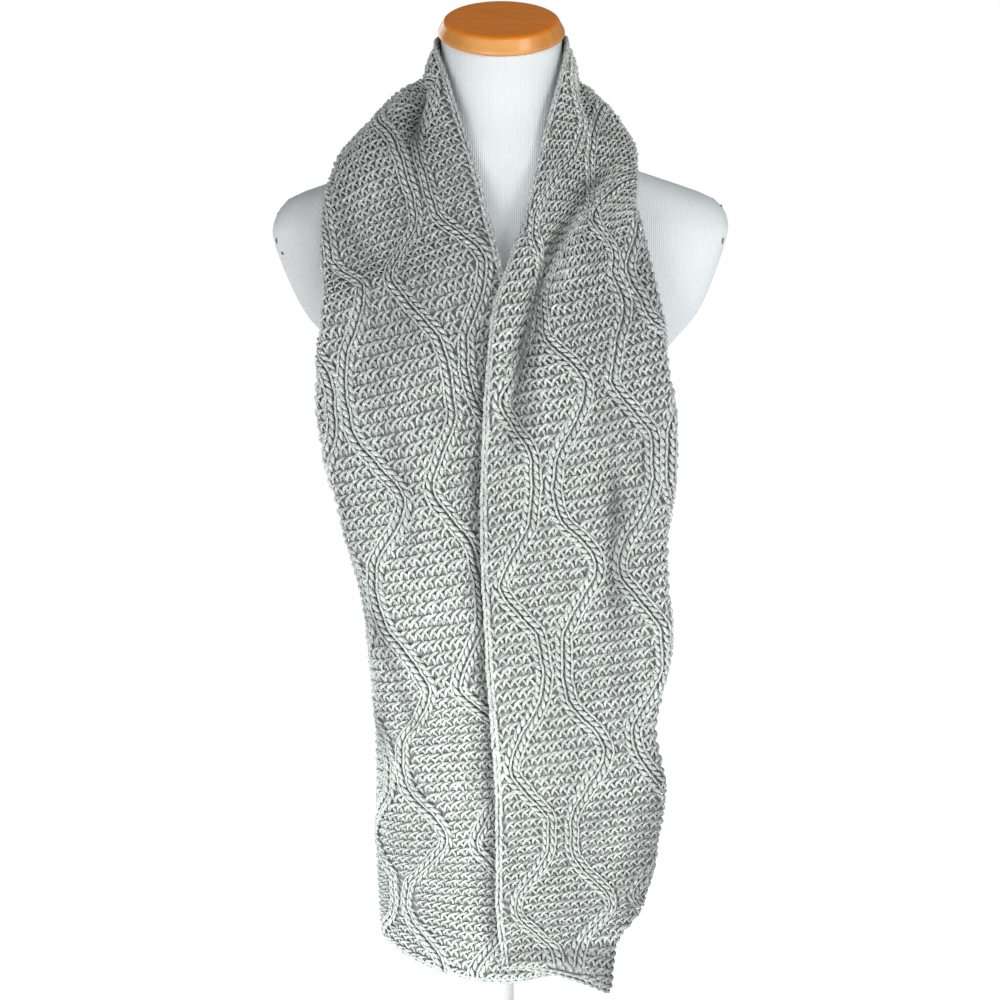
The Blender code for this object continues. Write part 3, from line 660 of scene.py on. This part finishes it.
def knit_ribs():
    for rib in range(4):
        row_line = np.arange(-HEM + 0.2, HEM - 0.2, 0.2)
        x_line = rib_line(rib, row_line)
        place = look_up(PLACE, x_line, row_line)
        run = np.concatenate(((0,), np.cumsum(np.linalg.norm(np.diff(place, axis=0), axis=1))))
        # the line's own direction and the one across it, in nominal millimetres and rows
        ahead = unit(np.gradient(place, axis=0))
        out = unit(look_up(OUT, x_line, row_line))
        side = np.cross(out, ahead)
        eq, er = look_up(STEP_Q, x_line, row_line), look_up(STEP_R, x_line, row_line)
        # solve a*eq + b*er = side in the cloth's plane
        s = np.linspace(0, 1, 6)
        g11, g12, g22 = (eq * eq).sum(1), (eq * er).sum(1), (er * er).sum(1)
        b1, b2 = (eq * side).sum(1), (er * side).sum(1)
        det = g11 * g22 - g12**2
        sx, sr = (b1 * g22 - b2 * g12) / det, (b2 * g11 - b1 * g12) / det
        rng = np.random.default_rng(30 + rib)
        squeeze = look_up(TIGHT, x_line, row_line)
        for cx, fat in RIB_COLUMNS:
            pitch = 7.2 if fat else 7.8
            for h in np.arange(pitch * rng.uniform(0.2, 0.8), run[-1] - pitch * 0.4, pitch):
                lean, thick = rng.normal(0, 0.15), rng.normal(1, 0.05)
                if fat:
                    off = cx - 1.9 + 3.8 * s + lean
                    down = 8.8 * s - 4.4
                    z = 0.75 + 1.55 * np.sin(math.pi * s) + 0.25 * s
                    radius = (0.6 + 1.45 * np.sin(math.pi * s**1.15) ** 0.9) * thick
                else:
                    off = cx + 0.45 - 0.9 * s + lean
                    down = 10.0 * s - 5.0
                    z = 1.35 + 0.9 * np.sin(math.pi * s)
                    radius = (0.7 + 0.5 * np.sin(math.pi * s) ** 0.7) * thick
                at_run = np.clip(h + down, 0, run[-1])
                x0, r0 = np.interp(at_run, run, x_line), np.interp(at_run, run, row_line)
                ox, orow = np.interp(at_run, run, sx), np.interp(at_run, run, sr)
                tight = np.interp(at_run, run, squeeze)
                # off grows across the cloth, away from the neckline edge
                x, row = x0 + off * ox * tight, np.clip(r0 + off * orow * tight, -HEM, HEM)
                ribs[stretch(float(x.mean()), float(row.mean()))].add(x, row, z, radius)


def knit_selvages():
    pitch = 7.0
    s = np.linspace(0, 1, 6)
    for edge, (x_mid, way) in (("in", (2.6, 1)), ("out", (WIDTH - 2.6, -1))):
        row_line = np.arange(-HEM + 0.1, HEM - 0.1, 0.2)
        place = look_up(PLACE, np.full(len(row_line), x_mid), row_line)
        run = np.concatenate(((0,), np.cumsum(np.linalg.norm(np.diff(place, axis=0), axis=1))))
        rng = np.random.default_rng(50 + way)
        for h in np.arange(pitch * 0.4, run[-1], pitch):
            for half in (-1, 1):
                off = half * (2.7 - 2.0 * s) + rng.normal(0, 0.25)
                at_run = np.clip(h + rng.normal(0, 0.4) + 5.2 - 10.4 * s, 0, run[-1])
                row = np.interp(at_run, run, row_line)
                x = x_mid + off
                z = -0.2 + 0.7 * np.sin(math.pi * s) - (0.3 if half * way < 0 else 0.0)
                radius = (0.7 + 1.15 * np.sin(math.pi * s) ** 0.7) * rng.normal(1, 0.08)
                ribs[stretch(float(x.mean()), float(row.mean()))].add(x, row, z, radius)


def knit_hems():
    pitch = 7.2
    s = np.linspace(0, 1, 6)
    for end in (-1, 1):
        for x0 in np.arange(3.5, WIDTH - 2, pitch):
            for half in (-1, 1):
                x = x0 + 4.8 - 9.6 * s
                row = end * (HEM - 0.17 + half * (0.17 - 0.10 * s))
                z = -0.5 + 0.7 * np.sin(math.pi * s)
                radius = 0.5 + 0.95 * np.sin(math.pi * s) ** 0.7
                x = np.clip(x, 0, WIDTH)
                ribs[stretch(float(x.mean()), float(row.mean()))].add(x, row, z, radius)


knit_ground()
knit_ribs()
knit_selvages()
knit_hems()
cloth = panel()
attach(cloth, "root")
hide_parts("scarf_neck", "scarf_left_front", "scarf_left_return", "scarf_right_front", "scarf_right_return")
for s in STRETCHES:
    for store, wool in ((ground[s], GROUND_WOOL), (ribs[s], RIB_WOOL)):
        piece = store.made(wool)
        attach(piece, "root")
        print(piece.name, sum(len(p.vertices) - 2 for p in piece.data.polygons), "triangles")

# ================================================================ the dress form
TORSO = (
    # z, half_width, front, back, square, forward
    (505, 106, 84, 84, 2.2, 0),
    (511, 112, 90, 90, 2.2, 0),
    (560, 113, 92, 92, 2.2, 0),
    (620, 121, 97, 97, 2.2, 0),
    (680, 134, 102, 102, 2.3, 0),
    (728, 145, 102, 106, 2.3, 0),
    (746, 158, 100, 107, 2.4, 0),
    (765, 178, 97, 108, 2.4, 0),
    (800, 203, 89, 108, 2.4, 0),
    (830, 217, 79, 105, 2.4, 0),
    (853, 220, 68, 97, 2.4, 0),
    (868, 203, 60, 90, 2.4, 0),
    (884, 160, 57, 84, 2.3, 0),
    (898, 118, 55, 79, 2.2, 0),
    (912, 85, 56, 73, 2.1, -2),
    (926, 68, 56, 66, 2.0, -4),
    (945, 59, 55, 60, 2.0, -6),
    (970, 55, 54, 56, 2.0, -2),
    (1000, 54.5, 54.5, 54.5, 2.0, 2),
    (1040, 54.5, 54.5, 54.5, 2.0, 6),
)
BUST = ((-76, 716), (76, 716))
BUST_OUT, BUST_WIDE, BUST_TALL = 16.0, 46.0, 48.0
CAP_TILT = math.radians(19.6)
CAP_LOW = np.array((0, -4, 1016.5))
CAP_UP = np.array((0, -math.sin(CAP_TILT), math.cos(CAP_TILT)))


def ring_at(z, count):
    table = np.array(TORSO, float)
    w, f, b, n, fwd = (float(along(z, table[:, 0], table[:, k])) for k in range(1, 6))
    a = np.linspace(0, 2 * math.pi, 1440, endpoint=False) - math.pi / 2
    c, s = np.cos(a), np.sin(a)
    x = w * np.sign(c) * np.abs(c) ** (2 / n)
    y = np.where(s > 0, b, f) * np.sign(s) * np.abs(s) ** (2 / n) - fwd
    for bx, bz in BUST:
        y -= np.where(s < 0, BUST_OUT * np.exp(-((x - bx) / BUST_WIDE) ** 2 - ((z - bz) / BUST_TALL) ** 2)
                      * np.minimum(1, -2 * s), 0)
    # points evenly spaced along the ring, from the middle of the front
    run = np.concatenate(((0,), np.cumsum(np.hypot(np.diff(np.append(x, x[0])), np.diff(np.append(y, y[0]))))))
    at = np.linspace(0, run[-1], count, endpoint=False)
    return (np.stack([np.interp(at, run, np.append(x, x[0])), np.interp(at, run, np.append(y, y[0])),
                      np.full(count, z)], -1), at - np.where(at > run[-1] / 2, run[-1], 0))


def form_body():
    count = 144
    heights = np.concatenate((np.array((505.0, 506.5, 508.5, 511.0)), np.arange(518, 985, 6.0), (985.0,)))
    rings, around = [], []
    for z in heights:
        ring, run = ring_at(z, count)
        rings.append(ring)
        around.append(run)
    top = rings[-1]
    level = CAP_LOW[2] - 0.5 + (CAP_LOW[1] - top[:, 1]) * -math.tan(CAP_TILT)
    for t in np.linspace(0, 1, 9)[1:]:
        ring = top.copy()
        z = 985 + (level - 985) * t
        wide = 1 - 0.006 * t
        ring[:, 0] *= wide
        ring[:, 2] = z
        rings.append(ring)
        around.append(around[-1])
    points = np.array(rings)
    around = np.array(around)
    # the arm ends: whatever lies past the cut is pressed on to it, with a rounded rim
    for side in (-1, 1):
        # once for the end itself, leaning in below, and once to round its top corner
        for slope, at, k in (((-26, (204.0, 857.0), 4.5), (19.5, (211.0, 846.0), 7.0)) if side < 0 else
                             ((-30, (202.5, 864.0), 4.5), (16.5, (205.5, 846.0), 7.0))):
            way = np.array((side * math.cos(math.radians(slope)), 0, -math.sin(math.radians(slope))))
            off = (points - np.array((side * at[0], 0.0, at[1]))) @ way
            pressed_off = np.where(off < -50, off, -k * np.log1p(np.exp(-np.clip(off, -50, 90) / k)))
            far = np.clip((points[..., 2] - 742) / 14, 0, 1)
            near_arm = (side * points[..., 0] > (90 if slope > 0 else 170)) & (points[..., 2] > 742)
            points = points + (np.where(near_arm, (pressed_off - off) * far, 0))[..., None] * way
    bm_points = points.reshape(-1, 3)
    rows = len(points)
    ids = np.arange(rows * count).reshape(rows, count)
    right = np.roll(ids, -1, axis=1)
    faces = np.stack([ids[:-1], right[:-1], right[1:], ids[1:]], -1).reshape(-1, 4)
    mesh = bpy.data.meshes.new("form_body")
    low, high = len(bm_points), len(bm_points) + 1
    verts = np.concatenate((bm_points, points[0].mean(0)[None], points[-1].mean(0)[None])) * MM
    caps = [(int(ids[0, (i + 1) % count]), int(ids[0, i]), low) for i in range(count)]
    caps += [(int(ids[-1, i]), int(ids[-1, (i + 1) % count]), high) for i in range(count)]
    mesh.from_pydata(verts.tolist(), [], faces.tolist() + caps)
    uv = mesh.uv_layers.new(name="canvas")
    u_of = np.append(around.ravel(), (0, 0))
    v_of = np.append(points[..., 2].ravel(), (505, 1010))
    for p in mesh.polygons:
        us = [u_of[mesh.loops[l].vertex_index] for l in p.loop_indices]
        if max(us) - min(us) > 150 and len(us) == 4:      # across the seam at the back
            us = [u + (2 * abs(u) if u < 0 else 0) for u in us]
        for l, u in zip(p.loop_indices, us):
            uv.data[l].uv = (u * MM, v_of[mesh.loops[l].vertex_index] * MM)
        p.use_smooth = True
    mesh.update()
    o = bpy.data.objects.new("form_body", mesh)
    bpy.context.scene.collection.objects.link(o)
    mesh.set_sharp_from_angle(angle=math.radians(50))
    return o


def canvas_material():
    m, tree, shader = material("canvas", 0.88)
    uv = node(tree, "ShaderNodeUVMap", uv_map="canvas").outputs["UV"]
    place = tree.nodes.new("ShaderNodeTexCoord").outputs["Object"]
    split = tree.nodes.new("ShaderNodeSeparateXYZ")
    tree.links.new(uv, split.inputs[0])
    wander = maths(tree, "MULTIPLY", noise(tree, place, 30, 2), 2.2)
    ribs_up = maths(tree, "SINE", maths(tree, "MULTIPLY_ADD", split.outputs[0], 2 * math.pi / 0.0018, wander))
    weft = maths(tree, "SINE", maths(tree, "MULTIPLY", split.outputs[1], 2 * math.pi / 0.0013))
    height = maths(tree, "MULTIPLY_ADD", weft, 0.25, ribs_up)
    colour = ramp(tree, noise(tree, place, 9, 3), (0.3, (0.805, 0.845, 0.87)), (0.7, (0.84, 0.88, 0.90)))
    colour = mixed(tree, "MULTIPLY", 1.0, colour, ramp(tree, maths(tree, "MULTIPLY_ADD", height, 0.4, 0.5), (0.0, 0.87), (1.0, 1.03)))
    colour = mixed(tree, "MULTIPLY", 1.0, colour, ramp(tree, noise(tree, place, 900, 2), (0.3, 0.97), (0.7, 1.02)))
    # paler from left to right, laid into the colour; it stands for the light of the picture
    away = tree.nodes.new("ShaderNodeSeparateXYZ")
    tree.links.new(place, away.inputs[0])
    colour = mixed(tree, "MULTIPLY", 1.0, colour, ramp(tree, maths(tree, "MULTIPLY_ADD", away.outputs[0], 2.5, 0.5),
                                                         (0.0, (0.89, 0.885, 0.875)), (0.30, (0.93, 0.93, 0.925)), (0.45, (1.01, 1.015, 1.01)), (1.0, (1.04, 1.06, 1.055))))
    # a soft shade laid into the colour low down at the arm end beside the scarf; it stands for the light there, not for dirt
    high = ramp(tree, maths(tree, "MULTIPLY_ADD", away.outputs[2], 10.0, -8.0), (0.15, 0.0), (0.75, 1.0))
    soft = ramp(tree, maths(tree, "MULTIPLY_ADD", away.outputs[0], 2.5, 0.5), (0.005, 0.94), (0.085, 0.74), (0.20, 0.80), (0.30, 1.0))
    colour = mixed(tree, "MULTIPLY", 1.0, colour, mixed(tree, "MIX", high, soft, ramp(tree, away.outputs[2], (0.0, 1.0), (1.0, 1.0))))
    tree.links.new(colour, shader.inputs["Base Color"])
    bump = node(tree, "ShaderNodeBump", in_Strength=0.5, in_Distance=0.0004)
    tree.links.new(height, bump.inputs["Height"])
    tree.links.new(bump.outputs[0], shader.inputs["Normal"])
    shader.inputs["Specular IOR Level"].default_value = 0.25
    return m


body = form_body()
body.data.materials.append(canvas_material())
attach(body, "root")
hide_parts("form_torso")


def staple_material():
    m, tree, shader = material("staple_steel", 0.5)
    place = tree.nodes.new("ShaderNodeTexCoord").outputs["Object"]
    tree.links.new(ramp(tree, noise(tree, place, 900, 3), (0.3, (0.035, 0.038, 0.040)), (0.7, (0.10, 0.105, 0.11))), shader.inputs["Base Color"])
    bump = node(tree, "ShaderNodeBump", in_Strength=0.3, in_Distance=0.0002)
    tree.links.new(noise(tree, place, 2500, 2), bump.inputs["Height"])
    tree.links.new(bump.outputs[0], shader.inputs["Normal"])
    shader.inputs["Metallic"].default_value = 0.3
    return m


def staples(name, ends, radius=0.8, sides=8):
    """Wire staples in the canvas at the arm ends, from one leg to the other as the camera sees them."""
    tree = BVHTree.FromPolygons([v.co for v in body.data.vertices], [tuple(p.vertices) for p in body.data.polygons])
    toward, up = Vector((0, math.cos(EL), -math.sin(EL))), Vector((0, math.sin(EL), math.cos(EL)))
    verts, faces = [], []
    a = np.arange(sides) * 2 * math.pi / sides
    for x0, y0, x1, y1 in ends:
        legs = []
        for x, y in ((x0, y0), (x1, y1)):
            for _ in range(12):
                way = (toward + Vector((1, 0, 0)) * ((x - 500) / FOCAL) + up * ((500 - y) / FOCAL)).normalized()
                place, normal, _, _ = tree.ray_cast(CAM, way)
                if place is not None and abs(place.x) > 0.12:
                    break
                x += 0.7 if x < 500 else -0.7
            legs.append((np.array(place) / MM, np.array(normal)))
        (p0, n0), (p1, n1) = legs
        path = np.array((p0 - 1.6 * n0, p0 - 0.1 * n0, p0 * 0.85 + p1 * 0.15 + 0.35 * n0, p0 * 0.15 + p1 * 0.85 + 0.35 * n1,
                         p1 - 0.1 * n1, p1 - 1.6 * n1))
        ahead = unit(np.gradient(path, axis=0))
        side = unit(np.cross(ahead, unit(np.cross(n0, p1 - p0)) + 1e-3))
        other = np.cross(ahead, side)
        ring = path[:, None] + radius * (np.cos(a)[None, :, None] * side[:, None] + np.sin(a)[None, :, None] * other[:, None])
        b, n = len(verts), len(path)
        verts += [tuple(v * MM) for v in ring.reshape(-1, 3)]
        faces += [(b + i * sides + j, b + i * sides + (j + 1) % sides, b + (i + 1) * sides + (j + 1) % sides, b + (i + 1) * sides + j)
                  for i in range(n - 1) for j in range(sides)]
        faces += [tuple(b + j for j in range(sides))[::-1], tuple(b + (n - 1) * sides + j for j in range(sides))]
    mesh = bpy.data.meshes.new(name)
    mesh.from_pydata(verts, [], faces)
    for poly in mesh.polygons:
        poly.use_smooth = len(poly.vertices) == 4
    mesh.materials.append(staple_material())
    o = bpy.data.objects.new(name, mesh)
    bpy.context.scene.collection.objects.link(o)
    return o


wires = staples("form_staples", ((273.9, 213.6, 277.6, 213.4), (276.7, 238.8, 277.1, 242.8), (281.8, 252.6, 283.4, 254.0),
                                 (720.4, 205.4, 722.8, 206.8), (722.8, 238.4, 721.9, 243.2)))
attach(wires, "root")


def turned(name, profile, segments, material_):
    """A turned solid from (radius, height) pairs in millimetres, top middle to bottom middle."""
    profile = np.array(profile, float)
    a = np.arange(segments) * 2 * math.pi / segments
    inner = profile[1:-1]
    verts = [(0, 0, profile[0, 1] * MM)]
    verts += [(r * math.cos(t) * MM, r * math.sin(t) * MM, z * MM) for r, z in inner for t in a]
    verts.append((0, 0, profile[-1, 1] * MM))
    faces = [(0, 1 + i, 1 + (i + 1) % segments) for i in range(segments)]
    for k in range(len(inner) - 1):
        b = 1 + k * segments
        faces += [(b + i, b + segments + i, b + segments + (i + 1) % segments, b + (i + 1) % segments)
                  for i in range(segments)]
    b, last = 1 + (len(inner) - 1) * segments, len(verts) - 1
    faces += [(b + i, last, b + (i + 1) % segments) for i in range(segments)]
    mesh = bpy.data.meshes.new(name)
    mesh.from_pydata(verts, [], faces)
    for p in mesh.polygons:
        p.use_smooth = True
    mesh.set_sharp_from_angle(angle=math.radians(40))
    mesh.materials.append(material_)
    o = bpy.data.objects.new(name, mesh)
    bpy.context.scene.collection.objects.link(o)
    return o


def smooth_profile(points, every=1.2):
    """Rounds a profile with a Catmull-Rom curve between its inner points."""
    p = np.array(points, float)
    inner = p[1:-1]
    run = np.concatenate(((0,), np.cumsum(np.linalg.norm(np.diff(inner, axis=0), axis=1))))
    at = np.unique(np.concatenate((np.linspace(0, run[-1], max(8, int(run[-1] / every))), run)))
    fine = np.stack([along(at, run, inner[:, 0]), np.clip(along(at, run, inner[:, 1]), p[-1, 1], p[0, 1])], -1)
    return [tuple(p[0])] + [tuple(v) for v in fine] + [tuple(p[-1])]


def wood_material():
    """Honey varnish over pale wood boards, the grain running across the cap."""
    m, tree, shader = material("cap_wood", 0.34)
    place = tree.nodes.new("ShaderNodeTexCoord").outputs["Object"]
    turn = node(tree, "ShaderNodeMapping")
    turn.inputs["Rotation"].default_value = (0, 0, math.radians(38))
    turn.inputs["Scale"].default_value = (14, 150, 14)
    tree.links.new(place, turn.inputs["Vector"])
    fine = node(tree, "ShaderNodeMapping")
    fine.inputs["Rotation"].default_value = (0, 0, math.radians(38))
    fine.inputs["Scale"].default_value = (90, 1600, 90)
    tree.links.new(place, fine.inputs["Vector"])
    board = node(tree, "ShaderNodeMapping")
    board.inputs["Rotation"].default_value = (0, 0, math.radians(38))
    tree.links.new(place, board.inputs["Vector"])
    grain = noise(tree, turn.outputs[0], 1.0, 4, 0.6)
    pores = noise(tree, fine.outputs[0], 1.0, 3, 0.6)
    colour = ramp(tree, grain, (0.25, (0.80, 0.21, 0.004)), (0.5, (0.90, 0.25, 0.008)), (0.75, (0.95, 0.29, 0.014)))
    colour = mixed(tree, "MULTIPLY", 1.0, colour, ramp(tree, pores, (0.30, 0.82), (0.55, 1.0)))
    # the turned rim is coloured paler than the top
    tall = tree.nodes.new("ShaderNodeSeparateXYZ")
    tree.links.new(place, tall.inputs[0])
    on_top = ramp(tree, maths(tree, "MULTIPLY", tall.outputs[2], 50.0), (0.60, 0.0), (0.74, 1.0))
    rim = ramp(tree, grain, (0.25, (0.72, 0.33, 0.10)), (0.75, (0.84, 0.42, 0.14)))
    # painted shade: the rim darkens towards its left and right ends, where it turns away from the light
    rim_end_painted_shade = ramp(tree, maths(tree, "MULTIPLY", maths(tree, "ABSOLUTE", tall.outputs[0]), 20.0),
                  (0.36, (1.0, 1.0, 1.0)), (0.72, (0.78, 0.68, 0.52)))
    rim = mixed(tree, "MULTIPLY", 1.0, rim, rim_end_painted_shade)
    colour = mixed(tree, "MIX", on_top, rim, colour)
    # a glued joint between two boards
    split = tree.nodes.new("ShaderNodeSeparateXYZ")
    tree.links.new(board.outputs[0], split.inputs[0])
    joint = maths(tree, "ABSOLUTE", maths(tree, "SUBTRACT", split.outputs[1], 0.006))
    colour = mixed(tree, "MULTIPLY", 1.0, colour, ramp(tree, maths(tree, "MULTIPLY", joint, 700.0), (0.0, 0.80), (1.0, 1.0)))
    tree.links.new(colour, shader.inputs["Base Color"])
    bump = node(tree, "ShaderNodeBump", in_Strength=0.12, in_Distance=0.0004)
    tree.links.new(grain, bump.inputs["Height"])
    tree.links.new(bump.outputs[0], shader.inputs["Normal"])
    shader.inputs["Coat Weight"].default_value = 0.35
    shader.inputs["Coat Roughness"].default_value = 0.12
    shader.inputs["Specular IOR Level"].default_value = 0.08
    return m


cap = turned("form_cap", smooth_profile([(0, 15.6), (10, 15.6), (30, 15.6), (45, 15.5), (49.3, 15.1), (51.6, 13.4), (52.8, 11), (54.9, 7),
                                         (56.4, 3.9), (56.6, 2.5), (55.8, 0.9), (54, 0.1), (40, 0), (20, 0), (0, 0)]), 128, wood_material())
cap.location = Vector(CAP_LOW) * MM
cap.rotation_euler = (CAP_TILT, 0, 0)
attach(cap, "root")
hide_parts("form_neck_cap")


def paint_material():
    m, tree, shader = material("stand_paint", 0.38)
    place = tree.nodes.new("ShaderNodeTexCoord").outputs["Object"]
    colour = ramp(tree, noise(tree, place, 14, 3), (0.3, (0.82, 0.825, 0.83)), (0.7, (0.87, 0.87, 0.87)))
    tree.links.new(colour, shader.inputs["Base Color"])
    shine = node(tree, "ShaderNodeMapRange")
    shine.inputs["To Min"].default_value, shine.inputs["To Max"].default_value = 0.32, 0.46
    tree.links.new(noise(tree, place, 60, 3), shine.inputs["Value"])
    tree.links.new(shine.outputs[0], shader.inputs["Roughness"])
    bump = node(tree, "ShaderNodeBump", in_Strength=0.08, in_Distance=0.0003)
    tree.links.new(noise(tree, place, 700, 2), bump.inputs["Height"])
    tree.links.new(bump.outputs[0], shader.inputs["Normal"])
    return m


PAINT = paint_material()
foot = turned("form_foot", smooth_profile([(0, 20), (13, 20), (20, 19.9), (40, 19.6), (80, 18.4), (120, 16.9), (140, 15.8), (147, 13.8), (150, 10),
                                           (150, 5), (149, 2), (146, 0.3), (142, 0), (60, 0), (20, 0), (0, 0)], 3.0), 128, PAINT)
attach(foot, "root")
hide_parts("form_base")
rod = turned("form_rod", [(0, 505.2), (11.2, 505.2), (12, 504.6), (12, 380), (12, 200), (12, 60), (12, 44), (17, 42.5), (18, 41), (18, 24),
                          (17.6, 21.5), (17, 20.3), (0, 20.3)], 64, PAINT)
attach(rod, "root")
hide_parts("form_pole")

# ================================================================ floor and light
floor_mesh = bpy.data.meshes.new("floor")
floor_mesh.from_pydata([(-40, -40, 0), (40, -40, 0), (40, 40, 0), (-40, 40, 0)], [], [(0, 1, 2, 3)])
floor = bpy.data.objects.new("floor", floor_mesh)
bpy.context.scene.collection.objects.link(floor)
pale, tree, shader = material("pale_floor", 0.9)
shader.inputs["Base Color"].default_value = (0.80, 0.80, 0.80, 1)
shader.inputs["Emission Color"].default_value = (1, 1, 1, 1)
shader.inputs["Emission Strength"].default_value = 0.86
shader.inputs["Specular IOR Level"].default_value = 0.0
floor_mesh.materials.append(pale)

world = bpy.data.worlds.new("studio")
bpy.context.scene.world = world
world.use_nodes = True
wt = world.node_tree
back = wt.nodes["Background"]
back.inputs["Color"].default_value = (0.96, 0.98, 1.0, 1)
back.inputs["Strength"].default_value = 0.20
seen = wt.nodes.new("ShaderNodeBackground")
seen.inputs["Color"].default_value = (1, 1, 1, 1)
seen.inputs["Strength"].default_value = 1.0
path = wt.nodes.new("ShaderNodeLightPath")
mix = wt.nodes.new("ShaderNodeMixShader")
wt.links.new(path.outputs["Is Camera Ray"], mix.inputs[0])
wt.links.new(back.outputs[0], mix.inputs[1])
wt.links.new(seen.outputs[0], mix.inputs[2])
wt.links.new(mix.outputs[0], wt.nodes["World Output"].inputs[0])


def softbox(name, place, look_at, size, watts, colour=(1, 1, 1), spread=180):
    data = bpy.data.lights.new(name, "AREA")
    data.shape, data.size, data.size_y = "RECTANGLE", size[0], size[1]
    data.energy, data.color, data.spread = watts, colour, math.radians(spread)
    o = bpy.data.objects.new(name, data)
    o.location = place
    o.rotation_euler = (Vector(look_at) - Vector(place)).to_track_quat("-Z", "Y").to_euler()
    o.visible_camera = False
    bpy.context.scene.collection.objects.link(o)


softbox("key", (1.5, -1.7, 1.6), (0.05, -0.1, 0.72), (0.8, 0.8), 2.4, (1.0, 0.99, 0.97), spread=70)
softbox("low_left", (-0.7, -1.4, 0.15), (-0.03, -0.12, 0.26), (0.9, 0.6), 3.6, spread=60)
softbox("top_front", (0.2, -1.7, 2.0), (0, 0, 0.92), (0.8, 0.6), 1.6, spread=70)
softbox("back_light", (-1.3, 1.9, 1.3), (0, 0, 0.65), (1.4, 1.0), 12)
view = bpy.context.scene.view_settings
view.view_transform = "Standard"
view.look = "None"
